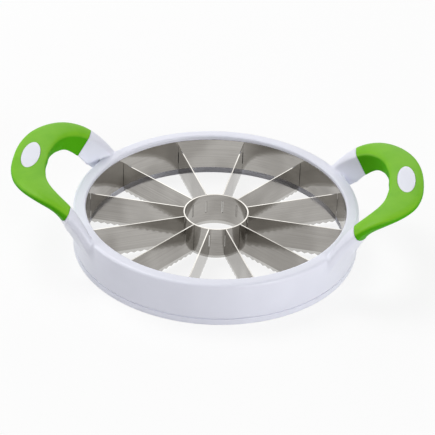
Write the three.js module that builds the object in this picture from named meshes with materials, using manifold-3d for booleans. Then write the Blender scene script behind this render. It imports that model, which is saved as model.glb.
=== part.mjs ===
// Melon slicer: a moulded ring with two raised loop handles, a steel band, twelve spoke blades
// and a core ring. Millimetres, +Z up. The origin is the centre of the ring on its underside,
// +X runs through one handle, and the cutting edges face down.

import * as THREE from 'three';
import { mergeVertices } from 'three/addons/utils/BufferGeometryUtils.js';
import Module from 'manifold-3d';

const wasm = await Module();
wasm.setup();

// Fits: the running gap between neighbours, and how far a cutting shape runs past what it cuts
const clearance = 0.3;
const overrun = 2;

// Ring: the opening, the flat rim round it, and the walls
const openingRadius = 100;
const rimWidth = 9.4;
const ringHeight = 35;
const wallBulge = 0.6;
const baseFlare = 0.4;
const outerWall = 2;
const innerWall = 1.8;
const roofWall = 2.4;
const rimRound = 1.8;
const lipRound = 0.8;
const lipHeight = 3.4;
const bulgeShare = 0.5;
const ringSegments = 72;

// Base ring that closes the frame from below
const baseHeight = 5;
const baseRound = 1.2;

// Steel: band round the opening, spoke blades and core ring
const bandThickness = 0.8;
const bladeCount = 12;
const bladeTurn = THREE.MathUtils.degToRad(22);
const bladeThickness = 0.8;
const bladeDrop = 8;
const bladeStandoff = 0.6;
const bladeGrind = 3.5;
const bladeEdge = 0.2;
const toothCount = 14;
const toothDepth = 1.4;
const tabHeight = 10;
const coreRadius = 25;
const coreWall = 1;
const coreBevel = 2.5;
const coreSegments = 36;

// Screws that come up through the base ring
const screwCount = 6;
const screwTurn = THREE.MathUtils.degToRad(7);
const screwRadius = 1.3;
const screwLength = 12;
const screwHeadRadius = 2.4;
const screwHeadHeight = 1.6;
const screwHeadRecess = 0.6;
const driveRadius = 0.9;
const driveDepth = 0.9;
const bossLength = 7;
const bossPocket = 1;

// Handle loop: its plan is measured from a centre on the X axis just inside the ring wall
const loopInset = 1.4;
const loopReach = 47.8;
const palmWidth = 26.3;
const loopRise = 32;
const rampSetback = 20.5;
const rampPower = 3.55;
const rootDepth = 33;
const palmBelly = 5;
const palmCrown = 0.7;
const topRound = 2;
const lowerRound = 2.5;
const loopHalfTurn = THREE.MathUtils.degToRad(112);
const loopSteps = 26;

// Places along half a loop, evenly spaced from the palm (first) to the end buried in the ring
const outerEdgeShares = [1.005, 1.027, 1.08, 1.15, 1.208, 1.25, 1.285, 1.366, 1.55];
const widthShares = [1, 1.006, 1.035, 1.052, 0.962, 0.812, 0.638, 0.518, 0.337];
const innerDepthShares = [0.225, 0.228, 0.242, 0.278, 0.34, 0.422, 0.645, 0.9, 0.606];
const lipDepthShares = [0.1, 0.1, 0.1, 0.1, 0.105, 0.115, 0.13, 0.29, 0.5];
const bellyShares = [1, 1, 1, 1, 1, 0.7, 0.15, 0, 0];

// White bar inside each loop, which carries the soft grip sleeve
const coreBarWidth = 9;
const coreBarDepth = 3;
const coreBarSides = 12;

// Soft grip sleeve and the oval pad let into its top
const gripSetback = 3;
const gripTilt = THREE.MathUtils.degToRad(31);
const inlayDepth = 1;
const inlayWidth = 13.6;
const inlayLength = 36.6;
const inlaySetback = 13.2;
const inlaySegments = 36;

// Sizes that follow from the ones above
const frameRadius = openingRadius + rimWidth;
const baseRadius = frameRadius + baseFlare;
const seamTop = baseHeight + clearance;
const bandRadius = openingRadius + bandThickness;
const recessRadius = bandRadius + clearance;
const channelInner = recessRadius + innerWall;
const channelOuter = frameRadius - outerWall;
const channelMiddle = (channelInner + channelOuter) / 2;
const lipUnderside = ringHeight - lipHeight;
const bandBottom = seamTop;
const bandTop = lipUnderside - clearance;
const bladeTop = ringHeight - bladeDrop;
const bladeBottom = bladeStandoff;
const bladeInner = coreRadius + clearance;
const bladeOuter = openingRadius - clearance;
const tabBottom = (bladeTop + bandBottom - tabHeight) / 2;
const tabTop = tabBottom + tabHeight;
const tabOuter = channelInner - clearance;
const tabInner = coreRadius - coreWall;
const slotWidth = bladeThickness + 2 * clearance;
const loopCentre = frameRadius - loopInset;
const loopTip = loopCentre + loopReach;
const rampStart = loopCentre - rampSetback;
const gripStart = loopCentre - gripSetback;
const inlayPlace = loopTip - inlaySetback;
const counterbore = screwHeadRecess + screwHeadHeight + clearance;
const wholeSize = 4 * loopTip;

// Materials
const whitePlastic = new THREE.MeshStandardMaterial({ color: 0xe6e7f1, roughness: 0.38, metalness: 0 });
const softGreen = new THREE.MeshStandardMaterial({ color: 0x79c531, roughness: 0.55, metalness: 0 });
const inlayWhite = new THREE.MeshStandardMaterial({ color: 0xe9e8f6, roughness: 0.35, metalness: 0 });
const polishedSteel = new THREE.MeshStandardMaterial({ color: 0xd3d2cf, roughness: 0.16, metalness: 1 });
const screwSteel = new THREE.MeshStandardMaterial({ color: 0xa9abad, roughness: 0.35, metalness: 1 });

// Turns a closed geometry into a solid, with flat triangles dropped and faces pointing out
function toSolid(geometry) {
  const bare = geometry.clone();
  bare.deleteAttribute('normal');
  bare.deleteAttribute('uv');
  const merged = mergeVertices(bare);
  const index = merged.index.array;
  const corners = [];
  for (let i = 0; i < index.length; i += 3) {
    const [a, b, c] = [index[i], index[i + 1], index[i + 2]];
    if (a !== b && b !== c && c !== a) corners.push(a, b, c);
  }
  const places = merged.attributes.position.array;
  if (signedVolume(places, corners) < 0) corners.reverse();
  const mesh = { numProp: 3, vertProperties: places, triVerts: new Uint32Array(corners) };
  return new wasm.Manifold(new wasm.Mesh(mesh));
}

function signedVolume(places, corners) {
  const [a, b, c] = [new THREE.Vector3(), new THREE.Vector3(), new THREE.Vector3()];
  let volume = 0;
  for (let i = 0; i < corners.length; i += 3) {
    a.fromArray(places, 3 * corners[i]);
    b.fromArray(places, 3 * corners[i + 1]);
    c.fromArray(places, 3 * corners[i + 2]);
    volume += a.dot(b.cross(c)) / 6;
  }
  return volume;
}

function toGeometry(solid) {
  const { vertProperties, triVerts } = solid.getMesh();
  const indexed = new THREE.BufferGeometry();
  indexed.setAttribute('position', new THREE.BufferAttribute(vertProperties, 3));
  indexed.setIndex(new THREE.BufferAttribute(triVerts, 1));
  const geometry = indexed.toNonIndexed();
  geometry.computeVertexNormals();
  return geometry;
}

// Basic shapes. A ring is turned from a closed outline of radius and height
function turned(outline, segments) {
  const closed = [...outline, outline[0]].map(([radius, height]) => new THREE.Vector2(radius, height));
  return toSolid(new THREE.LatheGeometry(closed, segments).rotateX(Math.PI / 2));
}

function extruded(outline, depth) {
  const shape = new THREE.Shape(outline.map(([x, y]) => new THREE.Vector2(x, y)));
  return new THREE.ExtrudeGeometry(shape, { depth, bevelEnabled: false });
}

function block(sizeX, sizeY, sizeZ, x, y, z) {
  return new THREE.BoxGeometry(sizeX, sizeY, sizeZ).translate(x, y, z);
}

function post(radius, bottom, top, x, y, segments) {
  const length = top - bottom;
  const cylinder = new THREE.CylinderGeometry(radius, radius, length, segments).rotateX(Math.PI / 2);
  return cylinder.translate(x, y, bottom + length / 2);
}

function quarterRound(radius, x, y, fromTurn, steps) {
  const points = [];
  for (let i = 0; i <= steps; i += 1) {
    const turn = fromTurn + (i / steps) * (Math.PI / 2);
    points.push([x + radius * Math.cos(turn), y + radius * Math.sin(turn)]);
  }
  return points;
}

function copiesAround(count, firstTurn, makeOne) {
  return Array.from({ length: count }, (_, i) => makeOne(firstTurn + (i / count) * 2 * Math.PI));
}

const halfTurned = (solid) => toSolid(toGeometry(solid).rotateZ(Math.PI));

// Handle loop: a skin through sections that follow the plan edges and the rising top
function shareAt(shares, place) {
  const before = Math.min(Math.floor(place), shares.length - 2);
  const at = (i) => shares[Math.min(Math.abs(i), shares.length - 1)];
  const points = [-1, 0, 1, 2].map((step) => at(before + step));
  const [a, b, c, d] = points;
  const t = place - before;
  return b + 0.5 * t * (c - a + t * (2 * a - 5 * b + 4 * c - d + t * (3 * (b - c) + d - a)));
}

function topHeight(x) {
  const left = Math.max(0, 1 - (x - rampStart) / (loopTip - rampStart));
  return ringHeight + loopRise * (1 - left ** rampPower);
}

function sectionOutline(width, lip, innerDepth, belly) {
  const corner = 1 - Math.SQRT1_2;
  const depthAt = (share) => lip + (innerDepth - lip) * share + 4 * belly * share * (1 - share);
  const crownShares = [0.35, 0.65];
  const bellyPlaces = [0.72, 0.5, 0.28, 0.1];
  return [
    [0, lip],
    [0, topRound],
    [corner * topRound, corner * topRound],
    [topRound, 0],
    ...crownShares.map((share) => [share * width, -palmCrown]),
    [width - topRound, 0],
    [width - corner * topRound, corner * topRound],
    [width, topRound],
    [width, innerDepth - lowerRound],
    [width - corner * lowerRound, innerDepth - corner * lowerRound],
    [width - lowerRound, depthAt(1 - lowerRound / width)],
    ...bellyPlaces.map((share) => [share * width, depthAt(share)]),
  ];
}

function areaCentre(outline) {
  let [area, sumX, sumY] = [0, 0, 0];
  outline.forEach(([x, y], i) => {
    const [nextX, nextY] = outline[(i + 1) % outline.length];
    const cross = x * nextY - nextX * y;
    area += cross;
    sumX += (x + nextX) * cross;
    sumY += (y + nextY) * cross;
  });
  return [sumX / (3 * area), sumY / (3 * area)];
}

// Oval of the bar inside the loop, about the middle of the loop's own outline
function barOutline(outline, margin) {
  const [x, y] = areaCentre(outline);
  const [halfWidth, halfDepth] = [coreBarWidth / 2 + margin, coreBarDepth / 2 + margin];
  const corner = (turn) => [x + halfWidth * Math.cos(turn), y + halfDepth * Math.sin(turn)];
  return copiesAround(coreBarSides, 0, corner);
}

// One section across the loop at a turn from the palm
function loopSection(turnShare, shapeOutline) {
  const along = Math.abs(turnShare) * (outerEdgeShares.length - 1);
  const turn = loopHalfTurn * turnShare;
  const outer = loopReach * shareAt(outerEdgeShares, along);
  const width = palmWidth * shareAt(widthShares, along);
  const lip = rootDepth * shareAt(lipDepthShares, along);
  const innerDepth = rootDepth * shareAt(innerDepthShares, along);
  const outline = sectionOutline(width, lip, innerDepth, palmBelly * shareAt(bellyShares, along));
  return shapeOutline(outline).map(([across, depth]) => {
    const reach = outer - across;
    const x = loopCentre + reach * Math.cos(turn);
    return new THREE.Vector3(x, reach * Math.sin(turn), topHeight(x) - depth);
  });
}

function loopSolid(shapeOutline) {
  const places = [];
  const corners = [];
  const steps = Array.from({ length: loopSteps + 1 }, (_, i) => (2 * i) / loopSteps - 1);
  const sections = steps.map((turnShare) => loopSection(turnShare, shapeOutline));
  const size = sections[0].length;
  sections.forEach((section) => section.forEach((point) => places.push(...point)));
  for (let i = 0; i < loopSteps; i += 1) {
    for (let j = 0; j < size; j += 1) {
      const [a, b] = [i * size + j, i * size + ((j + 1) % size)];
      corners.push(a, b, b + size, a, b + size, a + size);
    }
  }
  capEnd(places, corners, sections[0], 0, false);
  capEnd(places, corners, sections[loopSteps], loopSteps * size, true);
  const geometry = new THREE.BufferGeometry();
  geometry.setAttribute('position', new THREE.Float32BufferAttribute(places, 3));
  geometry.setIndex(corners);
  return toSolid(geometry);
}

function capEnd(places, corners, section, first, forward) {
  const middle = section.reduce((sum, point) => sum.add(point), new THREE.Vector3()).divideScalar(section.length);
  const centre = places.length / 3;
  places.push(...middle);
  section.forEach((_, j) => {
    const [a, b] = [first + j, first + ((j + 1) % section.length)];
    corners.push(...(forward ? [a, b, centre] : [b, a, centre]));
  });
}

const loopBar = (margin) => loopSolid((outline) => barOutline(outline, margin));

// The side of the slanted plane where the grip ends, on the palm's side of it
function gripZone(gap) {
  const half = wholeSize / 2;
  const zone = block(wholeSize, wholeSize, wholeSize, half + gap, 0, 0).rotateY(-gripTilt);
  return toSolid(zone.translate(gripStart, 0, topHeight(gripStart)));
}

function ovalPost(margin) {
  const [halfWidth, halfLength] = [inlayWidth / 2 + margin, inlayLength / 2 + margin];
  const oval = copiesAround(inlaySegments, 0, (turn) => [halfWidth * Math.cos(turn), halfLength * Math.sin(turn)]);
  const floor = topHeight(inlayPlace) - inlayDepth - margin;
  return toSolid(extruded(oval, loopRise).translate(inlayPlace, 0, floor));
}

// Upper frame: hollow ring with a recess for the band, and the two loops with their white roots
function ringProfile() {
  return [
    [recessRadius, seamTop],
    [baseRadius, seamTop],
    [frameRadius + wallBulge, ringHeight * bulgeShare],
    ...quarterRound(rimRound, frameRadius - rimRound, ringHeight - rimRound, 0, 3),
    ...quarterRound(lipRound, openingRadius + lipRound, ringHeight - lipRound, Math.PI / 2, 2),
    [openingRadius, lipUnderside],
    [recessRadius, lipUnderside],
  ];
}

function loopPart(wholeLoop) {
  const aboveSeam = block(wholeSize, wholeSize, wholeSize, 0, 0, seamTop + wholeSize / 2);
  return wholeLoop.subtract(gripZone(-clearance)).add(loopBar(0)).intersect(toSolid(aboveSeam));
}

function screwBoss(turn) {
  const width = channelOuter - channelInner + outerWall;
  const height = ringHeight - roofWall / 2 - seamTop;
  return toSolid(block(width, bossLength, height, channelMiddle, 0, seamTop + height / 2).rotateZ(turn));
}

function pilotHole(turn) {
  const [x, y] = [channelMiddle * Math.cos(turn), channelMiddle * Math.sin(turn)];
  const top = screwHeadRecess + screwHeadHeight + screwLength + bossPocket;
  return toSolid(post(screwRadius + clearance, seamTop - overrun, top, x, y, 12));
}

function bladeSlot(turn) {
  const height = tabHeight + 2 * clearance;
  const slot = block(2 * rimWidth, slotWidth, height, 0, 0, tabBottom - clearance + height / 2);
  return (radius) => toSolid(slot.clone().translate(radius, 0, 0).rotateZ(turn));
}

function upperFrame(wholeLoop) {
  const loop = loopPart(wholeLoop);
  const channel = [
    [channelInner, seamTop - overrun],
    [channelOuter, seamTop - overrun],
    [channelOuter, ringHeight - roofWall],
    [channelInner, ringHeight - roofWall],
  ];
  let frame = turned(ringProfile(), ringSegments).add(loop).add(halfTurned(loop));
  frame = frame.subtract(turned(channel, ringSegments));
  for (const boss of copiesAround(screwCount, screwTurn, screwBoss)) frame = frame.add(boss);
  for (const hole of copiesAround(screwCount, screwTurn, pilotHole)) frame = frame.subtract(hole);
  for (const cut of copiesAround(bladeCount, bladeTurn, bladeSlot)) {
    frame = frame.subtract(cut(channelInner - rimWidth));
  }
  return frame;
}

// Base ring: closes the channel, carries the band and takes the screw heads
function baseRing() {
  const inner = openingRadius + clearance;
  const profile = [
    [inner, baseHeight],
    [inner, 0],
    ...quarterRound(baseRound, baseRadius - baseRound, baseRound, -Math.PI / 2, 2),
    [baseRadius, baseHeight],
  ];
  let ring = turned(profile, ringSegments);
  const drill = (radius, top) => (turn) => {
    const [x, y] = [channelMiddle * Math.cos(turn), channelMiddle * Math.sin(turn)];
    return toSolid(post(radius, -overrun, top, x, y, 16));
  };
  const heads = copiesAround(screwCount, screwTurn, drill(screwHeadRadius + clearance, counterbore));
  const shanks = copiesAround(screwCount, screwTurn, drill(screwRadius + clearance, baseHeight + overrun));
  for (const hole of [...heads, ...shanks]) ring = ring.subtract(hole);
  return ring;
}

// Band that lines the opening, with a slot for each blade's outer tab
function outerBand() {
  const profile = [
    [openingRadius, bandBottom],
    [bandRadius, bandBottom],
    [bandRadius, bandTop],
    [openingRadius, bandTop],
  ];
  let band = turned(profile, ringSegments);
  for (const cut of copiesAround(bladeCount, bladeTurn, bladeSlot)) band = band.subtract(cut(bandRadius));
  return band;
}

// Core ring, sharpened at the bottom, with a slot for each blade's inner tab
function coreRing() {
  const inner = coreRadius - coreWall;
  const profile = [
    [inner, bladeBottom],
    [inner + bladeEdge, bladeBottom],
    [coreRadius, bladeBottom + coreBevel],
    [coreRadius, bladeTop],
    [inner, bladeTop],
  ];
  let core = turned(profile, coreSegments);
  for (const cut of copiesAround(bladeCount, bladeTurn, bladeSlot)) core = core.subtract(cut(coreRadius));
  return core;
}

// Blade: a flat strip with a tab at each end, ground and toothed along its lower edge
function bladeOutline() {
  const pitch = (bladeOuter - bladeInner) / toothCount;
  const teeth = Array.from({ length: toothCount }, (_, i) => bladeInner + i * pitch);
  return [
    ...teeth.flatMap((start) => [[start, bladeBottom + toothDepth], [start + pitch / 2, bladeBottom]]),
    [bladeOuter, bladeBottom + toothDepth],
    [bladeOuter, tabBottom],
    [tabOuter, tabBottom],
    [tabOuter, tabTop],
    [bladeOuter, tabTop],
    [bladeOuter, bladeTop],
    [bladeInner, bladeTop],
    [bladeInner, tabTop],
    [tabInner, tabTop],
    [tabInner, tabBottom],
    [bladeInner, tabBottom],
  ];
}

function blade() {
  const half = bladeThickness / 2;
  const strip = extruded(bladeOutline(), slotWidth).rotateX(Math.PI / 2).translate(0, slotWidth / 2, 0);
  const ground = extruded([
    [-bladeEdge / 2, bladeBottom - overrun],
    [bladeEdge / 2, bladeBottom - overrun],
    [bladeEdge / 2, bladeBottom],
    [half, bladeBottom + bladeGrind],
    [half, bladeTop + overrun],
    [-half, bladeTop + overrun],
    [-half, bladeBottom + bladeGrind],
    [-bladeEdge / 2, bladeBottom],
  ], frameRadius);
  ground.rotateX(Math.PI / 2).rotateZ(Math.PI / 2);
  return toSolid(strip).intersect(toSolid(ground));
}

// Screw: pan head with a six-sided drive, standing upright with its head at the bottom
function screw() {
  const head = toSolid(post(screwHeadRadius, 0, screwHeadHeight, 0, 0, 16));
  const shank = toSolid(post(screwRadius, screwHeadHeight / 2, screwHeadHeight + screwLength, 0, 0, 12));
  const drive = toSolid(post(driveRadius, -overrun, driveDepth, 0, 0, 6));
  return head.add(shank).subtract(drive);
}

// Grip sleeve round one loop, and the oval pad in its top
function gripSleeve(wholeLoop) {
  return wholeLoop.intersect(gripZone(0)).subtract(loopBar(clearance)).subtract(ovalPost(clearance));
}

const inlayPad = (wholeLoop) => wholeLoop.intersect(ovalPost(0));

// Assembly
const slicer = new THREE.Group();
const blades = new THREE.Group();
blades.rotation.z = bladeTurn;

function place(name, geometry, material, parent) {
  const mesh = new THREE.Mesh(geometry, material);
  mesh.name = name;
  parent.add(mesh);
  return mesh;
}

const wholeLoop = loopSolid((outline) => outline);
place('upper_frame', toGeometry(upperFrame(wholeLoop)), whitePlastic, slicer);
place('lower_ring', toGeometry(baseRing()), whitePlastic, slicer);
place('outer_band', toGeometry(outerBand()), polishedSteel, slicer);
place('core_ring', toGeometry(coreRing()), polishedSteel, slicer);

const gripGeometry = toGeometry(gripSleeve(wholeLoop));
const inlayGeometry = toGeometry(inlayPad(wholeLoop));
place('right_grip', gripGeometry, softGreen, slicer);
place('right_inlay', inlayGeometry, inlayWhite, slicer);
place('left_grip', gripGeometry, softGreen, slicer).rotation.z = Math.PI;
place('left_inlay', inlayGeometry, inlayWhite, slicer).rotation.z = Math.PI;

const bladeGeometry = toGeometry(blade());
for (let i = 0; i < bladeCount; i += 1) {
  const name = `blade_${String(i + 1).padStart(2, '0')}`;
  place(name, bladeGeometry, polishedSteel, blades).rotation.z = (i / bladeCount) * 2 * Math.PI;
}
slicer.add(blades);

const screwGeometry = toGeometry(screw());
copiesAround(screwCount, screwTurn, (turn) => turn).forEach((turn, i) => {
  const fastener = place(`screw_${i + 1}`, screwGeometry, screwSteel, slicer);
  fastener.position.set(channelMiddle * Math.cos(turn), channelMiddle * Math.sin(turn), screwHeadRecess);
});

export default slicer;
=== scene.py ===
# Looks of the melon slicer: every piece of the packed model, in metres and in the same frame.
# The origin is the centre of the ring on its underside, +X runs through one handle, +Z is up.

import math

import bmesh
import bpy
from mathutils import Matrix, Vector
from mathutils.kdtree import KDTree


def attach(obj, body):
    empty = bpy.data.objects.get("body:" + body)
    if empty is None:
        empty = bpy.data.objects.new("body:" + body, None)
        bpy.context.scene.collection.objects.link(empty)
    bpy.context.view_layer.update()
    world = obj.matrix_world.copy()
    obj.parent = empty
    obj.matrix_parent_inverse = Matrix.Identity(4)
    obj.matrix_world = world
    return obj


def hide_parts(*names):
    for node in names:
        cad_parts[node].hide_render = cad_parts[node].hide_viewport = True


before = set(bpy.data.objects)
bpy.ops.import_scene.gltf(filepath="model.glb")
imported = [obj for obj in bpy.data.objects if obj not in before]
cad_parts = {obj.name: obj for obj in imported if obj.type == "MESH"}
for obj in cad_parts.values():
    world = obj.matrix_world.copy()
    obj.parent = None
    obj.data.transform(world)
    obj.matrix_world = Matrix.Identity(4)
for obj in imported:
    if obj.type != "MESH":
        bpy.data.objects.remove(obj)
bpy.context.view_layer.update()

bl_info = {
    "name": "Melon slicer",
    "version": (1, 0, 0),
    "blender": (4, 5, 0),
    "location": "3D View > Sidebar > Slicer",
    "description": "Builds the moulded ring, grips, blades and studio of a melon slicer",
    "category": "Object",
}

BLADE_NAMES = [f"blade_{number:02d}" for number in range(1, 13)]
SCREW_NAMES = [f"screw_{number}" for number in range(1, 7)]
FULL_TURN = 2 * math.pi

# Size of a cutting block that reaches past every piece
FAR = 1.0

# Distance within which points become one, on a piece and at the axis of a spin
WELD, AXIS_WELD = 1e-6, 1e-7

# Sharpness of the edges that are eased, and of the inward corners at a root
EASED_ANGLE, CORNER_ANGLE = math.radians(50), math.radians(12)

# How far a remeshed point may be from its exact surface to be put back on it, in mesh grains
TRUE_UP_REACH = 0.45

# Radius of the thread's valley and of the drive, as shares of the shank's and the head's
VALLEY_SHARE, DRIVE_SHARE = 0.85, 0.375

# Brush strokes and grinding marks to the metre, and the blur where they meet
STROKES_ALONG, STROKES_ACROSS = 18, 3800
MARKS_ALONG, MARKS_ACROSS = 60, 3000
GRIND_BLUR = 0.0002

# Shares along half a loop, evenly spaced from the palm to the end buried in the ring
OUTER_EDGE_SHARES = (1.005, 1.027, 1.08, 1.15, 1.208, 1.25, 1.285, 1.366, 1.55)
WIDTH_SHARES = (1, 1.006, 1.035, 1.052, 0.962, 0.812, 0.638, 0.518, 0.337)
INNER_DEPTH_SHARES = (0.225, 0.228, 0.242, 0.278, 0.34, 0.422, 0.645, 0.9, 0.606)
LIP_DEPTH_SHARES = (0.1, 0.1, 0.1, 0.1, 0.105, 0.115, 0.13, 0.29, 0.5)
BELLY_SHARES = (1, 1, 1, 1, 1, 0.7, 0.15, 0, 0)


def group(name):
    """The scene's values of one property group"""
    return getattr(bpy.context.scene, f"slicer_{name}")


def number(name, description, default, **more):
    return bpy.props.FloatProperty(name=name, description=description, default=default, **more)


def length(name, description, default):
    return number(name, description, default, unit="LENGTH", precision=5)


def angle(name, description, degrees):
    return number(name, description, math.radians(degrees), subtype="ANGLE")


def count(name, description, default):
    return bpy.props.IntProperty(name=name, description=description, default=default, min=1)


def colour(name, description, default):
    return bpy.props.FloatVectorProperty(
        name=name, description=description, default=default, subtype="COLOR", size=3, min=0, max=1
    )


class RingSizes(bpy.types.PropertyGroup):
    """Sizes of the moulded ring and of the base ring under it"""

    clearance: length("Clearance", "Gap between neighbouring pieces", 0.0003)
    opening_radius: length("Opening radius", "Radius of the opening", 0.1)
    rim_width: length("Rim width", "Flat rim round the opening", 0.0094)
    height: length("Ring height", "Height of the ring", 0.035)
    wall_bulge: length("Wall bulge", "How far the outer wall swells", 0.0006)
    base_flare: length("Base flare", "How far the wall's foot stands out", 0.0004)
    outer_wall: length("Outer wall", "Thickness of the outer wall", 0.002)
    inner_wall: length("Inner wall", "Thickness of the inner wall", 0.0018)
    roof_wall: length("Roof", "Thickness of the rim", 0.0024)
    rim_round: length("Rim rounding", "Rounding of the rim's outer edge", 0.0018)
    lip_round: length("Lip rounding", "Rounding of the rim's inner edge", 0.0008)
    lip_height: length("Lip height", "Lip that covers the band", 0.0034)
    base_height: length("Base height", "Height of the base ring", 0.005)
    base_round: length("Base rounding", "Rounding of the base ring", 0.0012)
    seam: length("Seam", "Hairline above the base ring", 0.00007)
    steps: count("Steps", "Steps round the ring", 240)
    grain: length("Mesh grain", "Face size of the moulded frame", 0.00095)

    @property
    def frame_radius(self):
        return self.opening_radius + self.rim_width

    @property
    def base_radius(self):
        return self.frame_radius + self.base_flare

    @property
    def seam_top(self):
        return self.base_height + self.clearance

    @property
    def recess_radius(self):
        return self.band_radius + self.clearance

    @property
    def band_radius(self):
        return self.opening_radius + group("steel").band_thickness

    @property
    def channel_inner(self):
        return self.recess_radius + self.inner_wall

    @property
    def channel_outer(self):
        return self.frame_radius - self.outer_wall

    @property
    def channel_middle(self):
        return (self.channel_inner + self.channel_outer) / 2

    @property
    def lip_underside(self):
        return self.height - self.lip_height

    def wall_radius(self, height):
        """Radius of the swollen outer wall, which is widest halfway up"""
        widest = self.frame_radius + self.wall_bulge
        middle = self.height / 2
        below = height < middle
        end = self.seam_top if below else self.height - self.rim_round
        narrow = widest - (self.base_radius if below else self.frame_radius)
        return widest - narrow * ((height - middle) / (end - middle)) ** 2


class SteelSizes(bpy.types.PropertyGroup):
    """Sizes of the band, the core ring, the blade slots and the screws"""

    band_thickness: length("Band", "Thickness of the band", 0.0008)
    blade_turn: angle("Blade turn", "Turn of the first blade", 22)
    blade_thickness: length("Blade", "Thickness of a blade", 0.0008)
    blade_drop: length("Blade drop", "Blades' backs below the rim", 0.008)
    blade_standoff: length("Blade standoff", "Height of the teeth above the table", 0.0006)
    blade_grind: length("Ground height", "Height of the ground cutting edge", 0.0035)
    tab_height: length("Tab height", "Height of a blade's tab", 0.01)
    core_radius: length("Core radius", "Radius of the core ring", 0.025)
    core_wall: length("Core wall", "Thickness of the core ring", 0.001)
    core_bevel: length("Core bevel", "Height of the core ring's cutting edge", 0.0025)
    core_edge: length("Core edge", "Thickness of the cutting edge", 0.0002)
    screw_turn: angle("Screw turn", "Turn of the first screw", 7)
    screw_radius: length("Screw radius", "Radius of a screw's shank", 0.0013)
    screw_length: length("Screw length", "Length of a screw's shank", 0.012)
    head_radius: length("Head radius", "Radius of a screw's head", 0.0024)
    head_height: length("Head height", "Height of a screw's head", 0.0016)
    head_recess: length("Head recess", "Depth of the heads in the base ring", 0.0006)
    boss_length: length("Boss length", "Length of a screw boss", 0.007)
    boss_pocket: length("Boss pocket", "Free depth past a screw's tip", 0.001)

    @property
    def blade_top(self):
        return group("ring").height - self.blade_drop

    @property
    def slot_width(self):
        return self.blade_thickness + 2 * group("ring").clearance

    @property
    def tab_bottom(self):
        return (self.blade_top + group("ring").seam_top - self.tab_height) / 2


class LoopSizes(bpy.types.PropertyGroup):
    """Sizes of the two handle loops"""

    inset: length("Loop inset", "Loop centre inside the ring's wall", 0.0014)
    reach: length("Loop reach", "From the loop's centre to its tip", 0.0478)
    palm_width: length("Palm width", "Width of the loop at the palm", 0.0263)
    rise: length("Loop rise", "Height of the loop above the rim", 0.032)
    ramp_setback: length("Ramp setback", "Rise's start inside the loop's centre", 0.0205)
    ramp_power: number("Ramp power", "How fast the top levels off", 3.55)
    root_depth: length("Root depth", "Depth that the depth shares refer to", 0.033)
    palm_belly: length("Palm belly", "Swell of the underside at the palm", 0.005)
    palm_crown: length("Palm crown", "Swell of the top", 0.0007)
    outer_round: length("Outer rounding", "Rounding of the top's outer edge", 0.003)
    top_round: length("Top rounding", "Rounding of the top's inner edge", 0.002)
    lower_round: length("Lower rounding", "Rounding of the inner wall's foot", 0.0025)
    half_turn: angle("Half turn", "Turn from the palm to a buried end", 112)
    steps: count("Loop steps", "Steps along a loop", 120)
    grain: length("Mesh grain", "Face size of a grip", 0.0008)
    bar_width: length("Bar width", "Width of the bar inside the grip", 0.009)
    bar_depth: length("Bar depth", "Depth of the bar inside the grip", 0.003)
    grip_setback: length("Grip setback", "Start of the grip inside the loop's centre", 0.003)
    grip_tilt: angle("Grip tilt", "Slant of the grip's ends", 31)
    pad_depth: length("Pad depth", "Thickness of the oval pad", 0.001)
    pad_width: length("Pad width", "Width of the oval pad", 0.0136)
    pad_length: length("Pad length", "Length of the oval pad", 0.0366)
    pad_setback: length("Pad setback", "From the loop's tip to the pad's middle", 0.0132)
    blend_reach: length("Blend reach", "Where the roots flow into the ring", 0.007)
    blend_fade: length("Blend fade", "Depth below the rim where the flow is full", 0.009)
    blend_passes: count("Blend passes", "Smoothing passes at the roots", 60)

    @property
    def centre(self):
        return group("ring").frame_radius - self.inset

    @property
    def tip(self):
        return self.centre + self.reach

    @property
    def grip_start(self):
        return self.centre - self.grip_setback

    @property
    def pad_place(self):
        return self.tip - self.pad_setback

    def ramp_left(self, x):
        """Share of a loop's slope that is left at a distance from the ring's axis"""
        start = self.centre - self.ramp_setback
        return 1 - (x - start) / (self.tip - start)

    def ramp_height(self, left):
        """Height of a loop's top where a share of its slope is left"""
        return group("ring").height + self.rise * (1 - left**self.ramp_power)

    def top_height(self, x):
        """Height of a loop's top at a distance from the ring's axis"""
        return self.ramp_height(max(0.0, self.ramp_left(x)))


class Finishes(bpy.types.PropertyGroup):
    """Colours of the materials"""

    white: colour("White plastic", "Moulded frame and base ring", (0.84, 0.85, 0.95))
    white_shade: colour("White shade", "Faint clouding in the white", (0.77, 0.78, 0.88))
    green: colour("Green grip", "Soft grip sleeves", (0.22, 0.565, 0.022))
    # Also the colour of the shade painted down the grips' flanks
    green_dark_and_painted_shade: colour("Green shade", "Flanks and pressed places", (0.07, 0.38, 0.004))
    pad: colour("Oval pad", "Pads in the grips", (0.82, 0.84, 0.93))
    # A painted highlight along the pads' edge
    pad_painted_highlight: colour("Pad rim", "Polished edge of the pads", (0.88, 0.88, 0.94))
    steel: colour("Steel", "Blades, band and core ring", (0.45, 0.435, 0.41))
    # Also the dark of the reflections painted in patches on the steel
    steel_dark_and_painted_reflection: colour("Steel shade", "Darker brushed lines", (0.25, 0.236, 0.217))
    ground: colour("Ground edge", "Sharpened edges of the blades and core ring", (0.72, 0.71, 0.69))
    screw: colour("Screw", "Plated screws", (0.52, 0.53, 0.55))


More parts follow.
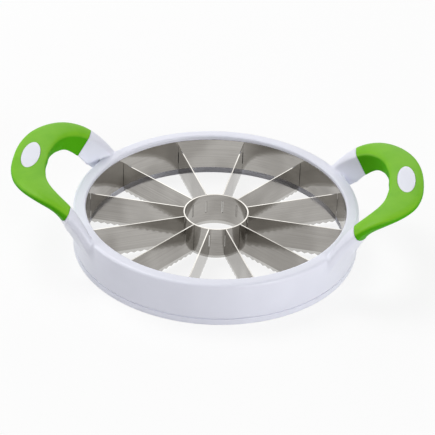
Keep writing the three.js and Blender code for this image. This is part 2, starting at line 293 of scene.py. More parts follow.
class StudioSettings(bpy.types.PropertyGroup):
    """Camera, lamps and floor"""

    elevation: angle("Elevation", "Camera above the horizon", 33.35)
    azimuth: angle("Azimuth", "Camera to the right of the front", 3.4)
    roll: angle("Roll", "Picture turned clockwise", 1.97)
    distance: length("Distance", "Camera to the rim's centre", 1.385)
    lens: number("Lens", "Focal length in millimetres", 149.6)
    shift_right: length("Aim right", "Aim to the right of the rim's centre", 0.00086)
    shift_down: length("Aim down", "Aim below the rim's centre", 0.0112)
    lamp_distance: length("Lamp distance", "Each lamp to the ring's middle", 3.0)
    lamp_size: length("Lamp size", "Side of each square lamp", 1.6)
    front_power: number("Front lamp", "Power at the front right", 62.0)
    left_power: number("Left lamp", "Power at the left", 47.0)
    high_power: number("High lamp", "Power high up at the back left", 45.0)
    back_power: number("Back lamp", "Power at the back", 14.0)
    sky: number("Sky", "Strength of the even light", 0.1)
    floor_size: length("Floor size", "Side of the floor", 8.0)
    floor_drop: length("Floor drop", "Floor below the ring's underside", 0.0002)
    floor_grey: number("Floor grey", "Light that the floor throws back", 0.55)
    floor_white: number("Floor white", "Share of plain white in the floor's look", 0.86)
    fade_start: length("Fade start", "Where the floor starts to fade", 0.35)
    fade_end: length("Fade end", "Where the floor is plain white", 1.0)


GROUPS = {
    "slicer_ring": RingSizes,
    "slicer_steel": SteelSizes,
    "slicer_loop": LoopSizes,
    "slicer_finish": Finishes,
    "slicer_studio": StudioSettings,
}


# Meshes
def new_object(name, bm):
    """A finished mesh object at the origin, made from a bmesh, which is freed"""
    mesh = bpy.data.meshes.new(name)
    bmesh.ops.recalc_face_normals(bm, faces=bm.faces)
    bm.to_mesh(mesh)
    bm.free()
    return show(bpy.data.objects.new(name, mesh))


def show(made):
    bpy.context.scene.collection.objects.link(made)
    return made


def bake(made, kind, **choices):
    """Adds a modifier, keeps its result as the mesh, and takes it off again"""
    modifier = made.modifiers.new(kind.title(), kind)
    for name, value in choices.items():
        setattr(modifier, name, value)
    graph = bpy.context.evaluated_depsgraph_get()
    result = bpy.data.meshes.new_from_object(made.evaluated_get(graph), depsgraph=graph)
    made.modifiers.clear()
    spent, made.data = made.data, result
    bpy.data.meshes.remove(spent)
    if not made.data.polygons:
        raise RuntimeError(f"{made.name} came out empty")
    return made


def combine(made, tool, operation):
    """Joins a second solid to the first, or cuts it away or keeps what they share"""
    bake(made, "BOOLEAN", object=tool, operation=operation, solver="EXACT")
    drop(tool)
    return made


def drop(spent):
    mesh = spent.data
    bpy.data.objects.remove(spent)
    bpy.data.meshes.remove(mesh)


def copied(made, name, matrix):
    """A copy of a piece, moved by a matrix"""
    other = made.copy()
    other.data = made.data.copy()
    other.name = other.data.name = name
    other.data.transform(matrix)
    return show(other)


def shade(made, sharp_degrees):
    """Smooth shading, with edges sharper than an angle kept crisp"""
    bm = bmesh.new()
    bm.from_mesh(made.data)
    bmesh.ops.remove_doubles(bm, verts=bm.verts, dist=WELD)
    for face in bm.faces:
        face.smooth = True
    for edge in bm.edges:
        edge.smooth = edge.calc_face_angle(math.pi) < math.radians(sharp_degrees)
    bm.to_mesh(made.data)
    bm.free()
    return made


def remesh(made, grain):
    """Rebuilds a piece from even faces of one size"""
    return bake(made, "REMESH", mode="VOXEL", voxel_size=grain, adaptivity=0)


def ease(made, width, segments):
    """Rounds the sharp edges of a piece a little"""
    return bake(made, "BEVEL", width=width, segments=segments, limit_method="ANGLE",
                angle_limit=EASED_ANGLE)


def spun(outline, steps, from_axis=False):
    """A full turn of an outline: a ring, or a solid if the outline starts and ends on the axis"""
    bm = bmesh.new()
    corners = [bm.verts.new((radius, 0, height)) for radius, height in outline]
    closing = [] if from_axis else corners[:1]
    sides = [bm.edges.new(pair) for pair in zip(corners, corners[1:] + closing)]
    bmesh.ops.spin(
        bm, geom=corners + sides, cent=(0, 0, 0), axis=(0, 0, 1), dvec=(0, 0, 0),
        angle=FULL_TURN, steps=steps, use_merge=True,
    )
    if from_axis:
        bmesh.ops.remove_doubles(bm, verts=bm.verts, dist=AXIS_WELD)
        bmesh.ops.dissolve_degenerate(bm, edges=bm.edges, dist=AXIS_WELD)
    return bm


def quarter(radius, x, y, start_degrees, steps):
    """Points of a quarter circle"""
    turns = [math.radians(start_degrees + 90 * i / steps) for i in range(steps + 1)]
    return [(x + radius * math.cos(turn), y + radius * math.sin(turn)) for turn in turns]


def evenly(start, span, steps):
    """Evenly spaced values from a start, without the end"""
    return [start + span * i / steps for i in range(steps)]


def upright(inner, outer, bottom, top):
    """Outline of a plain ring's section"""
    return [(inner, bottom), (outer, bottom), (outer, top), (inner, top)]


def swell(height, share):
    """Height of an arch at a share of its span"""
    return 4 * height * share * (1 - share)


def around(names, first_turn):
    """A turn about the ring's axis for each name, evenly spaced"""
    return [Matrix.Rotation(turn, 4, "Z") for turn in evenly(first_turn, FULL_TURN, len(names))]


def add_block(bm, size, place, turn=Matrix()):
    """A block of a given size, moved to its place and then turned about the ring's axis"""
    matrix = turn @ Matrix.Translation(place) @ Matrix.Diagonal((*size, 1))
    bmesh.ops.create_cube(bm, size=1, matrix=matrix)


def add_post(bm, radius, bottom, top, segments, away=0, turn=Matrix()):
    """An upright cylinder, moved away from the ring's axis and then turned about it"""
    centre = Matrix.Translation((away, 0, (bottom + top) / 2))
    bmesh.ops.create_cone(
        bm, cap_ends=True, segments=segments, radius1=radius, radius2=radius,
        depth=top - bottom, matrix=turn @ centre,
    )


# Handle loops
def share_at(shares, place):
    """A share between its listed places, on a smooth curve that mirrors at the palm"""
    before = min(int(place), len(shares) - 2)
    a, b, c, d = (shares[min(abs(before + step), len(shares) - 1)] for step in (-1, 0, 1, 2))
    t = place - before
    return b + 0.5 * t * (c - a + t * (2 * a - 5 * b + 4 * c - d + t * (3 * (b - c) + d - a)))


def loop_outline(loop, width, lip, inner_depth, belly):
    """Section of a loop as (across, depth): outer lip, crowned top, inner wall, swollen underside"""
    outer, top, low = loop.outer_round, loop.top_round, loop.lower_round
    crown = [across / width for across in evenly(outer, width - outer - top, steps=10)[1:]]
    under = evenly(1 - low / width, low / width - 1, steps=13)

    def under_depth(share):
        return lip + (inner_depth - lip) * share + swell(belly, share)

    return [
        (0.0, lip),
        *quarter(outer, outer, outer, 180, steps=6),
        *[(share * width, -swell(loop.palm_crown, share)) for share in crown],
        *quarter(top, width - top, top, 270, steps=5),
        *[(width, depth) for depth in evenly(top, inner_depth - low - top, steps=5)[1:]],
        *quarter(low, width - low, inner_depth - low, 0, steps=5)[:-1],
        *[(share * width, under_depth(share)) for share in under],
    ]


def area_centre(outline):
    area = sum_x = sum_y = 0.0
    for (x, y), (next_x, next_y) in zip(outline, outline[1:] + outline[:1]):
        cross = x * next_y - next_x * y
        area += cross
        sum_x += (x + next_x) * cross
        sum_y += (y + next_y) * cross
    return sum_x / (3 * area), sum_y / (3 * area)


def loop_section(loop, turn_share, shape_outline):
    """Points of the right loop's section, from one buried end at -1 past the palm at 0 to 1"""
    along = abs(turn_share) * (len(OUTER_EDGE_SHARES) - 1)
    turn = loop.half_turn * turn_share
    outer = loop.reach * share_at(OUTER_EDGE_SHARES, along)
    width = loop.palm_width * share_at(WIDTH_SHARES, along)
    lip = loop.root_depth * share_at(LIP_DEPTH_SHARES, along)
    inner_depth = loop.root_depth * share_at(INNER_DEPTH_SHARES, along)
    belly = loop.palm_belly * share_at(BELLY_SHARES, along)
    points = []
    for across, depth in shape_outline(loop_outline(loop, width, lip, inner_depth, belly)):
        x = loop.centre + (outer - across) * math.cos(turn)
        y = (outer - across) * math.sin(turn)
        points.append(Vector((x, y, loop.top_height(x) - depth)))
    return points


def loop_solid(name, shape_outline=lambda outline: outline):
    """The right handle loop: one section drawn along the plan, each step an extrusion"""
    loop = group("loop")
    bm = bmesh.new()
    ring = [bm.verts.new(point) for point in loop_section(loop, -1, shape_outline)]
    edges = [bm.edges.new(pair) for pair in zip(ring, ring[1:] + ring[:1])]
    bmesh.ops.contextual_create(bm, geom=edges)
    for step in range(1, loop.steps + 1):
        ring = follow(ring, bmesh.ops.extrude_edge_only(bm, edges=edges)["geom"])
        for corner, point in zip(ring, loop_section(loop, 2 * step / loop.steps - 1, shape_outline)):
            corner.co = point
        edges = [bm.edges.get(pair) for pair in zip(ring, ring[1:] + ring[:1])]
    bmesh.ops.contextual_create(bm, geom=edges)
    return new_object(name, bm)


def follow(ring, made):
    """The new corners of an extrusion, in the order of the old ones"""
    fresh = {item for item in made if isinstance(item, bmesh.types.BMVert)}
    return [
        next(edge.other_vert(old) for edge in old.link_edges if edge.other_vert(old) in fresh)
        for old in ring
    ]


def loop_bar(name, margin):
    """The oval bar that runs inside the right grip, a margin larger all round"""
    loop = group("loop")
    half_width, half_depth = loop.bar_width / 2 + margin, loop.bar_depth / 2 + margin
    turns = evenly(0, FULL_TURN, steps=24)

    def oval(outline):
        x, y = area_centre(outline)
        return [(x + half_width * math.cos(turn), y + half_depth * math.sin(turn)) for turn in turns]

    return loop_solid(name, oval)


def grip_zone(gap):
    """Large block whose slanted face is where the grip ends"""
    loop = group("loop")
    bm = bmesh.new()
    lean = Matrix.Rotation(-loop.grip_tilt, 4, "Y")
    start = Vector((loop.grip_start, 0, loop.top_height(loop.grip_start)))
    matrix = Matrix.Translation(start) @ lean @ Matrix.Translation((FAR / 2 + gap, 0, 0))
    bmesh.ops.create_cube(bm, size=FAR, matrix=matrix)
    return new_object("zone", bm)


def half_turned(made, name):
    """A copy of a piece for the other handle"""
    return copied(made, name, Matrix.Rotation(math.pi, 4, "Z"))


# Pieces
def ring_outline(ring):
    """Section of the moulded ring before its channel is cut: a swollen wall and a flat rim"""
    shoulder = ring.height - ring.rim_round
    heights = evenly(ring.seam_top, shoulder - ring.seam_top, steps=12)
    lip_centre = (ring.opening_radius + ring.lip_round, ring.height - ring.lip_round)
    return [
        (ring.recess_radius, ring.seam_top),
        *[(ring.wall_radius(height), height) for height in heights],
        *quarter(ring.rim_round, ring.frame_radius - ring.rim_round, shoulder, 0, steps=5),
        *quarter(ring.lip_round, *lip_centre, 90, steps=4),
        (ring.opening_radius, ring.lip_underside),
        (ring.recess_radius, ring.lip_underside),
    ]


def cut_slots(made, radius):
    """Cuts the slots for the blades' tabs through the walls near a radius"""
    ring, steel = group("ring"), group("steel")
    bm = bmesh.new()
    height = steel.tab_height + 2 * ring.clearance
    place = (radius, 0, steel.tab_bottom - ring.clearance + height / 2)
    for turn in around(BLADE_NAMES, steel.blade_turn):
        add_block(bm, (2 * ring.rim_width, steel.slot_width, height), place, turn)
    return combine(made, new_object("slots", bm), "DIFFERENCE")


def root_corners(made):
    """Points along the inward corners where the roots leave the ring's outer wall"""
    ring = group("ring")
    bm = bmesh.new()
    bm.from_mesh(made.data)
    found = []
    for edge in bm.edges:
        middle = (edge.verts[0].co + edge.verts[1].co) / 2
        inward = edge.calc_face_angle_signed(0) < -CORNER_ANGLE
        if inward and middle.xy.length > ring.channel_outer and middle.z < ring.height:
            found += [edge.verts[0].co.copy(), middle, edge.verts[1].co.copy()]
    bm.free()
    tree = KDTree(len(found))
    for index, point in enumerate(found):
        tree.insert(point, index)
    tree.balance()
    return tree


def soften(bm, corners):
    """One smoothing pass over the given corners"""
    bmesh.ops.smooth_vert(
        bm, verts=corners, factor=0.5, use_axis_x=True, use_axis_y=True, use_axis_z=True
    )


def true_up(bm, ring):
    """Puts the remeshed wall and rim back on their exact surfaces"""
    near = ring.grain * TRUE_UP_REACH
    low, shoulder = ring.seam_top + ring.grain, ring.height - ring.rim_round
    for corner in bm.verts:
        radius, height = corner.co.xy.length, corner.co.z
        wall = ring.wall_radius(height)
        on_rim = ring.opening_radius + ring.lip_round < radius < ring.frame_radius - ring.rim_round
        if low < height < shoulder and abs(radius - wall) < near:
            corner.co.xy *= wall / radius
        elif on_rim and abs(height - ring.height) < near:
            corner.co.z = ring.height


def blend_roots(made, tree):
    """Lets the roots of the loops flow into the ring's wall, most of all in their corners"""
    ring, loop = group("ring"), group("loop")
    bm = bmesh.new()
    bm.from_mesh(made.data)
    soften(bm, bm.verts)
    true_up(bm, ring)
    ranks = []
    for corner in bm.verts:
        fade = min(1.0, (ring.height - corner.co.z) / loop.blend_fade)
        outside = corner.co.xy.length > ring.channel_outer
        if outside and fade > 0 and corner.co.z > ring.seam_top + ring.outer_wall:
            rank = tree.find(corner.co)[2] / (loop.blend_reach * fade)
            if rank < 1:
                ranks.append((rank, corner))
    for step in range(loop.blend_passes):
        left = 1 - step / loop.blend_passes
        soften(bm, [corner for rank, corner in ranks if rank < left])
    bm.to_mesh(made.data)
    bm.free()


def channel_tool(turns):
    """What is cut out of the ring: the hidden channel with its screw bosses left standing"""
    ring, steel = group("ring"), group("steel")
    bottom, roof = ring.seam_top - ring.outer_wall, ring.height - ring.roof_wall
    outline = upright(ring.channel_inner, ring.channel_outer, bottom, roof)
    made = new_object("channel", spun(outline, ring.steps))
    bm = bmesh.new()
    width = ring.channel_outer - ring.channel_inner + ring.outer_wall
    middle = (ring.channel_middle, 0, ring.height / 2)
    for turn in turns:
        add_block(bm, (width, steel.boss_length, ring.height), middle, turn)
    return combine(made, new_object("bosses", bm), "DIFFERENCE")


def above_seam(made):
    """What a piece has above the seam with the base ring"""
    bm = bmesh.new()
    add_block(bm, (FAR, FAR, FAR), (0, 0, group("ring").seam_top + FAR / 2))
    return combine(made, new_object("above", bm), "INTERSECT")


def combine_twice(made, tool, operation):
    """Combines a piece with a tool of the right handle and its copy for the left one"""
    other = half_turned(tool, "other")
    combine(made, tool, operation)
    combine(made, other, operation)


def upper_frame():
    """Moulded ring with the roots and bars of its loops, hollow and drilled from below"""
    ring, steel = group("ring"), group("steel")
    made = new_object("moulded_frame", spun(ring_outline(ring), ring.steps))
    combine_twice(made, above_seam(loop_solid("root")), "UNION")
    tree = root_corners(made)
    remesh(made, ring.grain)
    blend_roots(made, tree)
    combine_twice(made, grip_zone(-ring.clearance), "DIFFERENCE")
    combine_twice(made, above_seam(loop_bar("bar", 0)), "UNION")
    turns = around(SCREW_NAMES, steel.screw_turn)
    combine(made, channel_tool(turns), "DIFFERENCE")
    bm = bmesh.new()
    hole_top = steel.head_recess + steel.head_height + steel.screw_length + steel.boss_pocket
    for turn in turns:
        add_post(bm, steel.screw_radius + ring.clearance, 0, hole_top, segments=24,
                 away=ring.channel_middle, turn=turn)
    combine(made, new_object("holes", bm), "DIFFERENCE")
    cut_slots(made, ring.channel_inner - ring.rim_width)
    return shade(made, sharp_degrees=50)


def base_ring():
    """Ring that closes the frame from below, drilled for the screws"""
    ring, steel = group("ring"), group("steel")
    inner, top = ring.opening_radius + ring.clearance, ring.seam_top - ring.seam
    outline = [
        *quarter(ring.clearance, inner + ring.clearance, ring.clearance, 180, steps=2),
        *quarter(ring.base_round, ring.base_radius - ring.base_round, ring.base_round, 270, steps=5),
        (ring.base_radius, top),
        (inner, top),
    ]
    made = new_object("moulded_base", spun(outline, ring.steps))
    bm = bmesh.new()
    head_top = steel.head_recess + steel.head_height + ring.clearance
    head_drill = steel.head_radius + ring.clearance, -FAR, head_top
    shank_drill = steel.screw_radius + ring.clearance, 0, ring.height
    for turn in around(SCREW_NAMES, steel.screw_turn):
        for drill in (head_drill, shank_drill):
            add_post(bm, *drill, segments=48, away=ring.channel_middle, turn=turn)
    drills = bake(new_object("drills", bm), "BOOLEAN", operand_type="COLLECTION",
                  operation="UNION", solver="EXACT", use_self=True)
    combine(made, drills, "DIFFERENCE")
    ease(made, ring.clearance / 2, segments=2)
    return shade(made, sharp_degrees=40)


def steel_band():
    """Band that lines the opening, slotted for the blades' tabs"""
    ring = group("ring")
    top = ring.lip_underside - ring.clearance
    outline = upright(ring.opening_radius, ring.band_radius, ring.seam_top, top)
    made = new_object("lining_band", spun(outline, ring.steps))
    return shade(cut_slots(made, ring.band_radius), sharp_degrees=30)


def core_cutter():
    """Core ring, sharpened at the bottom and slotted for the blades' tabs"""
    ring, steel = group("ring"), group("steel")
    inner = steel.core_radius - steel.core_wall
    outline = [
        (inner, steel.blade_standoff),
        (inner + steel.core_edge, steel.blade_standoff),
        (steel.core_radius, steel.blade_standoff + steel.core_bevel),
        (steel.core_radius, steel.blade_top),
        (inner, steel.blade_top),
    ]
    made = new_object("core_cutter", spun(outline, ring.steps))
    return shade(cut_slots(made, steel.core_radius), sharp_degrees=30)


def threaded_screws():
    """Plated screws: rounded head with a six-sided drive, and a threaded shank"""
    ring, steel = group("ring"), group("steel")
    edge = steel.head_height / 2
    pitch = steel.screw_radius / 2
    valley = steel.screw_radius * VALLEY_SHARE
    thread = []
    for i in range(int(steel.screw_length / pitch)):
        height = steel.head_height + i * pitch
        thread += [(steel.screw_radius, height + pitch / 2), (valley, height + pitch)]
    outline = [
        (0, 0),
        *quarter(edge, steel.head_radius - edge, edge, 270, steps=4),
        (steel.head_radius, steel.head_height),
        (valley, steel.head_height),
        *thread,
        (0, steel.head_height + steel.screw_length),
    ]
    master = new_object("screw", spun(outline, steps=32, from_axis=True))
    bm = bmesh.new()
    add_post(bm, steel.head_radius * DRIVE_SHARE, -FAR, edge, segments=6)
    combine(master, new_object("drive", bm), "DIFFERENCE")
    shade(master, sharp_degrees=35)
    place = Matrix.Translation((ring.channel_middle, 0, steel.head_recess))
    turns = around(SCREW_NAMES, steel.screw_turn)
    made = [copied(master, f"plated_{name}", turn @ place) for name, turn in zip(SCREW_NAMES, turns)]
    drop(master)
    return made


def oval_post(margin):
    """Upright oval that reaches down to the floor of the pad's pocket"""
    loop = group("loop")
    floor = loop.top_height(loop.pad_place) - loop.pad_depth - margin
    half_width, half_length = loop.pad_width / 2 + margin, loop.pad_length / 2 + margin
    stretch = Matrix.Diagonal((half_width, half_length, loop.rise, 1))
    matrix = Matrix.Translation((loop.pad_place, 0, floor + loop.rise / 2)) @ stretch
    bm = bmesh.new()
    bmesh.ops.create_cone(
        bm, cap_ends=True, segments=96, radius1=1, radius2=1, depth=1, matrix=matrix
    )
    return new_object("oval", bm)


def grip_sleeves():
    """Soft sleeves round both loops, hollow for the bar and pocketed for the pad"""
    ring, loop = group("ring"), group("loop")
    made = remesh(loop_solid("right_sleeve"), loop.grain)
    bm = bmesh.new()
    bm.from_mesh(made.data)
    soften(bm, bm.verts)
    bm.to_mesh(made.data)
    bm.free()
    combine(made, grip_zone(0), "INTERSECT")
    combine(made, loop_bar("hollow", ring.clearance), "DIFFERENCE")
    combine(made, oval_post(ring.clearance), "DIFFERENCE")
    shade(made, sharp_degrees=60)
    return [made, half_turned(made, "left_sleeve")]


def oval_pads():
    """Hard oval pads, with an eased edge, let into the tops of the grips"""
    ring = group("ring")
    made = combine(loop_solid("right_pad"), oval_post(0), "INTERSECT")
    ease(made, ring.clearance, segments=3)
    shade(made, sharp_degrees=40)
    return [made, half_turned(made, "left_pad")]


# Materials
def shader_math(operation):
    """An operator that adds a Math node"""
    return lambda value, *others: value.paint.math(operation, value, *others)


class Value:
    """A shader socket in an expression: arithmetic on it adds its Math nodes"""

    def __init__(self, paint, socket):
        self.paint = paint
        self.socket = socket

    def output(self, name):
        """Another output of the same node"""
        return Value(self.paint, self.socket.node.outputs[name])

    __add__ = __radd__ = shader_math("ADD")
    __mul__ = __rmul__ = shader_math("MULTIPLY")
    __sub__ = shader_math("SUBTRACT")
    __truediv__ = shader_math("DIVIDE")
    __pow__ = shader_math("POWER")
    __abs__ = shader_math("ABSOLUTE")

    def __rsub__(self, other):
        return self.paint.math("SUBTRACT", other, self)


class Paint:
    """The nodes of one material or of the world"""

    def __init__(self, tree):
        self.tree = tree
        self.tree.nodes.clear()

    def add(self, kind, choices=None, inputs=None, output=0):
        """Any node: its own settings first, then the values or links of its sockets"""
        node = self.tree.nodes.new(kind)
        for name, value in (choices or {}).items():
            setattr(node, name, value)
        for name, value in (inputs or {}).items():
            socket = node.inputs[name]
            if isinstance(value, Value):
                self.tree.links.new(value.socket, socket)
            elif socket.type == "RGBA" and len(value) == 3:
                socket.default_value = (*value, 1)
            else:
                socket.default_value = value
        return Value(self, node.outputs[output]) if node.outputs else None

    def math(self, operation, left, right=0.0):
        return self.add("ShaderNodeMath", {"operation": operation}, {0: left, 1: right})

    def mask(self, value, low, high):
        """Rises smoothly from 0 at one value to 1 at another"""
        return self.add(
            "ShaderNodeMapRange", {"interpolation_type": "SMOOTHSTEP"},
            {"Value": value, "From Min": low, "From Max": high},
        )

    def mix(self, first, second, share):
        """Blend of two colours"""
        return self.add(
            "ShaderNodeMix", {"data_type": "RGBA"}, {0: share, 6: first, 7: second}, output=2
        )

    def noise(self, vector, scale, detail):
        return self.add(
            "ShaderNodeTexNoise", None, {"Vector": vector, "Scale": scale, "Detail": detail}
        )

    def bump(self, height, strength, distance):
        return self.add(
            "ShaderNodeBump", None, {"Height": height, "Strength": strength, "Distance": distance}
        )

    def place(self):
        """Object coordinates"""
        return self.add("ShaderNodeTexCoord", output="Object")

    def axes(self, vector):
        """The x, y and z of a vector"""
        split = self.add("ShaderNodeSeparateXYZ", None, {0: vector})
        return [split.output(axis) for axis in "XYZ"]

    def vector(self, x, y, z):
        return self.add("ShaderNodeCombineXYZ", None, {0: x, 1: y, 2: z})

    def radius(self, x, y):
        """Distance from the ring's axis"""
        return self.math("SQRT", x * x + y * y)

    def surface(self, **sockets):
        """The Principled surface, by socket name with underscores for spaces"""
        inputs = {name.replace("_", " "): value for name, value in sockets.items()}
        shader = self.add("ShaderNodeBsdfPrincipled", None, inputs)
        self.add("ShaderNodeOutputMaterial", None, {"Surface": shader})


def new_paint(name):
    material = bpy.data.materials.new(name)
    material.use_nodes = True
    return material, Paint(material.node_tree)


def white_plastic():
    """Moulded satin white with a faint lilac cloud and a fine texture"""
    finish = group("finish")
    material, paint = new_paint("moulded white")
    vector = paint.place()
    cloud = paint.mask(paint.noise(vector, scale=38, detail=3), 0.38, 0.68)
    fleck = paint.mask(paint.noise(vector, scale=900, detail=2), 0.62, 0.74)
    grain = paint.noise(vector, scale=1400, detail=2)
    paint.surface(
        Base_Color=paint.mix(finish.white, finish.white_shade, cloud * 0.25 + fleck * 0.12),
        Roughness=0.36 + cloud * 0.02 + fleck * 0.05,
        Normal=paint.bump(grain, strength=0.04, distance=0.0002),
    )
    return material


def green_rubber():
    """Soft green, polished by hands along the top, with shade painted as a deeper, duller green down
    the flanks
    """
    finish, loop = group("finish"), group("loop")
    material, paint = new_paint("soft green")
    vector = paint.place()
    x, _, z = paint.axes(vector)
    top = loop.ramp_height(loop.ramp_left(abs(x)))
    # Shade painted as a deeper green wherever the surface lies below the grip's top; the coat there
    # is thinner too
    flank_shade_and_dull = paint.mask(top - z, loop.outer_round * 0.08, loop.outer_round * 0.8)
    cloud = paint.mask(paint.noise(vector, scale=55, detail=4), 0.35, 0.7)
    grain = paint.noise(vector, scale=2600, detail=2)
    pits = paint.mask(paint.noise(vector, scale=1100, detail=3), 0.6, 0.75)
    worn = paint.mix(finish.green, finish.green_dark_and_painted_shade, cloud * 0.22 + pits * 0.12)
    paint.surface(
        Base_Color=paint.mix(worn, finish.green_dark_and_painted_shade, flank_shade_and_dull * 0.94),
        Roughness=0.5 + cloud * 0.08 + pits * 0.1,
        Specular_IOR_Level=0.02,
        Coat_Weight=0.3 - flank_shade_and_dull * 0.26,
        Coat_Roughness=0.42,
        Normal=paint.bump(grain - pits * 0.4, strength=0.12, distance=0.0004),
    )
    return material


def pad_plastic():
    """Smooth pale oval with a polished edge, lightened in colour as a painted highlight"""
    finish, loop = group("finish"), group("loop")
    material, paint = new_paint("pale pad")
    vector = paint.place()
    x, y, _ = paint.axes(vector)
    across = (abs(x) - loop.pad_place) / (loop.pad_width / 2)
    along = y / (loop.pad_length / 2)
    # Edge band: smoother and less grainy, and its lighter colour is a painted highlight
    rim = paint.mask(across * across + along * along, 0.72, 0.86)
    cloud = paint.mask(paint.noise(vector, scale=140, detail=3), 0.4, 0.7)
    grain = paint.noise(vector, scale=1800, detail=2) * (1 - rim)
    pad_with_painted_highlight = paint.mix(finish.pad, finish.pad_painted_highlight, rim * 0.9)
    paint.surface(
        Base_Color=paint.mix(pad_with_painted_highlight, finish.white_shade, cloud * 0.12),
        Roughness=0.34 - rim * 0.1 + cloud * 0.05,
        Normal=paint.bump(grain, strength=0.05, distance=0.0003),
    )
    return material


def brushed_steel(name, along_arc, ground_top=0.0):
    """Rolled stainless steel, brushed round a ring or along a blade, with a ground edge"""
    finish, ring = group("finish"), group("ring")
    material, paint = new_paint(name)
    vector = paint.place()
    x, y, z = paint.axes(vector)
    radius, arc = paint.radius(x, y), paint.math("ARCTAN2", y, x)
    lengthwise = arc * ring.opening_radius if along_arc else radius
    brushed = paint.vector(lengthwise * STROKES_ALONG, arc, z * STROKES_ACROSS)
    strokes = paint.noise(brushed, scale=1, detail=3)
    # Broad darker patches painted along the steel as reflections; they also vary the roughness
    smudge_and_reflection = paint.mask(paint.noise(vector, scale=24, detail=2), 0.38, 0.66)
    lines = paint.mask(strokes, 0.4, 0.66)
    tone = paint.mix(finish.steel, finish.steel_dark_and_painted_reflection, lines * 0.3 + smudge_and_reflection * 0.5)
    height = strokes
    rough = 0.08 + lines * 0.03 + smudge_and_reflection * 0.05
    if ground_top:
        ground = 1 - paint.mask(z, ground_top - GRIND_BLUR, ground_top + GRIND_BLUR)
        ground_run = paint.vector(radius * MARKS_ACROSS, arc, z * MARKS_ALONG)
        marks = paint.noise(ground_run, scale=1, detail=2)
        tone = paint.mix(tone, finish.ground, ground * (0.35 + marks * 0.4))
        height = strokes * (1 - ground) + marks * ground
        rough = rough + ground * 0.1
    paint.surface(
        Base_Color=tone,
        Metallic=1.0,
        Roughness=rough,
        Normal=paint.bump(height, strength=0.05, distance=0.0001),
    )
    return material


def plated_steel():
    """Zinc-plated screw steel with a dull, slightly patchy skin"""
    finish = group("finish")
    material, paint = new_paint("plated screw")
    patch = paint.mask(paint.noise(paint.place(), scale=700, detail=4), 0.4, 0.65)
    paint.surface(
        Base_Color=paint.mix(finish.screw, finish.steel_dark_and_painted_reflection, patch * 0.4),
        Metallic=1.0,
        Roughness=0.3 + patch * 0.15,
        Normal=paint.bump(patch, strength=0.1, distance=0.0001),
    )
    return material


def clad(material, *pieces):
    for piece in pieces:
        piece.data.materials.clear()
        piece.data.materials.append(material)


# Operators
class SLICER_OT_frame(bpy.types.Operator):
    """Build the moulded ring with the roots and inner bars of its two loops"""

    bl_idname = "slicer.frame"
    bl_label = "Moulded frame"

    def execute(self, context):
        made = upper_frame()
        clad(white_plastic(), made)
        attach(made, "root")
        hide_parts("upper_frame")
        return {"FINISHED"}


class SLICER_OT_base(bpy.types.Operator):
    """Build the ring that closes the frame from below"""

    bl_idname = "slicer.base"
    bl_label = "Base ring"

    def execute(self, context):
        made = base_ring()
        clad(bpy.data.materials["moulded white"], made)
        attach(made, "root")
        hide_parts("lower_ring")
        return {"FINISHED"}


class SLICER_OT_band(bpy.types.Operator):
    """Build the steel band that lines the opening"""

    bl_idname = "slicer.band"
    bl_label = "Lining band"

    def execute(self, context):
        made = steel_band()
        clad(brushed_steel("brushed ring steel", True), made)
        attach(made, "root")
        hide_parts("outer_band")
        return {"FINISHED"}


class SLICER_OT_core(bpy.types.Operator):
    """Build the ring that cuts out the core"""

    bl_idname = "slicer.core"
    bl_label = "Core ring"

    def execute(self, context):
        steel = group("steel")
        made = core_cutter()
        edge_top = steel.blade_standoff + steel.core_bevel
        clad(brushed_steel("core ring steel", True, edge_top), made)
        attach(made, "root")
        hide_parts("core_ring")
        return {"FINISHED"}


class SLICER_OT_blades(bpy.types.Operator):
    """Finish the twelve toothed blades"""

    bl_idname = "slicer.blades"
    bl_label = "Blades"

    def execute(self, context):
        steel = group("steel")
        grind_top = steel.blade_standoff + steel.blade_grind
        blades = [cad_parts[name] for name in BLADE_NAMES]
        clad(brushed_steel("blade steel", False, grind_top), *blades)
        return {"FINISHED"}


class SLICER_OT_grips(bpy.types.Operator):
    """Build the soft sleeves round both handle loops"""

    bl_idname = "slicer.grips"
    bl_label = "Grip sleeves"

    def execute(self, context):
        made = grip_sleeves()
        clad(green_rubber(), *made)
        for piece, node in zip(made, ("right_grip", "left_grip")):
            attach(piece, "root")
            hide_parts(node)
        return {"FINISHED"}


class SLICER_OT_pads(bpy.types.Operator):
    """Build the oval pads in the grips"""

    bl_idname = "slicer.pads"
    bl_label = "Oval pads"

    def execute(self, context):
        made = oval_pads()
        clad(pad_plastic(), *made)
        for piece, node in zip(made, ("right_inlay", "left_inlay")):
            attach(piece, "root")
            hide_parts(node)
        return {"FINISHED"}


class SLICER_OT_screws(bpy.types.Operator):
    """Build the screws that hold the base ring"""

    bl_idname = "slicer.screws"
    bl_label = "Screws"

    def execute(self, context):
        made = threaded_screws()
        clad(plated_steel(), *made)
        for piece, node in zip(made, SCREW_NAMES):
            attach(piece, "root")
            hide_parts(node)
        return {"FINISHED"}


class SLICER_OT_stage(bpy.types.Operator):
    """Set up the pale floor, the soft studio light and the camera"""

    bl_idname = "slicer.stage"
    bl_label = "Studio"

    def execute(self, context):
        lay_floor()
        light_studio()
        aim_camera()
        context.scene.view_settings.view_transform = "Standard"
        return {"FINISHED"}


# Studio
def seen_directly(paint):
    """1 for rays that should meet a white background, and 0 for those that only light"""
    camera = paint.add("ShaderNodeLightPath", output="Is Camera Ray")
    seen = paint.math("MAXIMUM", camera, camera.output("Is Glossy Ray"))
    return paint.math("MAXIMUM", seen, camera.output("Is Transmission Ray"))


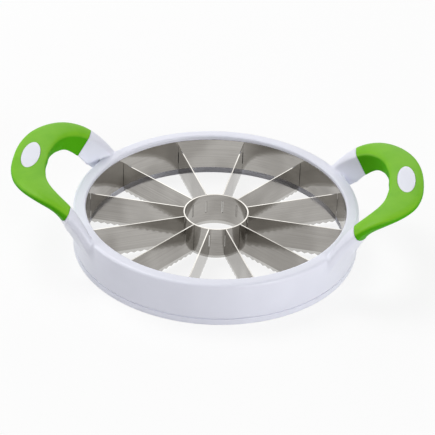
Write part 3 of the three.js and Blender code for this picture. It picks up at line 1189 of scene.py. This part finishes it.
def lay_floor():
    """Pale floor just under the ring, seen as white with a faint shadow"""
    studio = group("studio")
    bm = bmesh.new()
    under = Matrix.Translation((0, 0, -studio.floor_drop))
    bmesh.ops.create_grid(bm, x_segments=1, y_segments=1, size=studio.floor_size / 2, matrix=under)
    floor = new_object("studio_floor", bm)
    material, paint = new_paint("pale floor")
    direct = seen_directly(paint)
    tone = paint.mix((studio.floor_grey,) * 3, (1, 1, 1), direct)
    matt = paint.add("ShaderNodeBsdfDiffuse", None, {"Color": tone})
    glow = paint.add("ShaderNodeEmission", None, {"Color": (1, 1, 1), "Strength": 1.0})
    x, y, _ = paint.axes(paint.place())
    faded = paint.mask(paint.radius(x, y), studio.fade_start, studio.fade_end)
    share = direct * (studio.floor_white + (1 - studio.floor_white) * faded)
    mixed = paint.add("ShaderNodeMixShader", None, {0: share, 1: matt, 2: glow})
    paint.add("ShaderNodeOutputMaterial", None, {"Surface": mixed})
    clad(material, floor)


def add_lamp(name, power, azimuth, elevation):
    """Square soft lamp that faces the middle of the ring from a direction in degrees"""
    studio = group("studio")
    turn, high = math.radians(azimuth), math.radians(elevation)
    away = Vector((math.cos(turn) * math.cos(high), math.sin(turn) * math.cos(high), math.sin(high)))
    lamp = bpy.data.lights.new(name, "AREA")
    lamp.size = studio.lamp_size
    lamp.energy = power
    made = show(bpy.data.objects.new(name, lamp))
    made.location = away * studio.lamp_distance
    made.rotation_euler = away.to_track_quat("Z", "Y").to_euler()


def light_studio():
    """A faint even sky, seen as white, and four large lamps"""
    studio = group("studio")
    world = bpy.data.worlds.new("studio sky")
    world.use_nodes = True
    paint = Paint(world.node_tree)
    direct = seen_directly(paint)
    sky = paint.add(
        "ShaderNodeBackground", None,
        {"Color": (1, 1, 1), "Strength": direct + (1 - direct) * studio.sky},
    )
    paint.add("ShaderNodeOutputWorld", None, {"Surface": sky})
    bpy.context.scene.world = world
    add_lamp("front_lamp", studio.front_power, azimuth=-45, elevation=14)
    add_lamp("left_lamp", studio.left_power, azimuth=180, elevation=14)
    add_lamp("high_lamp", studio.high_power, azimuth=135, elevation=60)
    add_lamp("back_lamp", studio.back_power, azimuth=90, elevation=22)


def aim_camera():
    """Places the camera so that the model lies in the frame as it does in the photograph"""
    studio = group("studio")
    high, turn, roll = studio.elevation, studio.azimuth, studio.roll
    back = Vector((math.sin(turn) * math.cos(high), -math.cos(turn) * math.cos(high), math.sin(high)))
    right = Vector((0, 0, 1)).cross(back).normalized()
    up = back.cross(right)
    level_right = right * math.cos(roll) + up * math.sin(roll)
    level_up = up * math.cos(roll) - right * math.sin(roll)
    rim = Vector((0, 0, group("ring").height))
    camera = show(bpy.data.objects.new("camera", bpy.data.cameras.new("camera")))
    camera.data.lens = studio.lens
    aim_right, aim_down = level_right * studio.shift_right, level_up * studio.shift_down
    place = rim + back * studio.distance + aim_right - aim_down
    facing = Matrix((level_right, level_up, back)).transposed().to_4x4()
    camera.matrix_world = Matrix.Translation(place) @ facing
    bpy.context.scene.camera = camera


class VIEW3D_PT_slicer(bpy.types.Panel):
    """Lists the sizes, the finishes and the steps of the build"""

    bl_label = "Melon slicer"
    bl_space_type = "VIEW_3D"
    bl_region_type = "UI"
    bl_category = "Slicer"

    def draw(self, context):
        for operator in OPERATORS:
            self.layout.operator(operator.bl_idname)
        for name, kind in GROUPS.items():
            box = self.layout.box()
            box.label(text=kind.__doc__)
            for value in kind.__annotations__:
                box.prop(getattr(context.scene, name), value)


OPERATORS = (
    SLICER_OT_frame, SLICER_OT_base, SLICER_OT_band, SLICER_OT_core, SLICER_OT_blades,
    SLICER_OT_grips, SLICER_OT_pads, SLICER_OT_screws, SLICER_OT_stage,
)
CLASSES = (*GROUPS.values(), *OPERATORS, VIEW3D_PT_slicer)


def register():
    for kind in CLASSES:
        bpy.utils.register_class(kind)
    for name, kind in GROUPS.items():
        setattr(bpy.types.Scene, name, bpy.props.PointerProperty(type=kind))


def unregister():
    for name in GROUPS:
        delattr(bpy.types.Scene, name)
    for kind in reversed(CLASSES):
        bpy.utils.unregister_class(kind)


def main():
    register()
    for operator in OPERATORS:
        getattr(bpy.ops.slicer, operator.bl_idname.split(".")[1])()


if __name__ == "__main__":
    main()
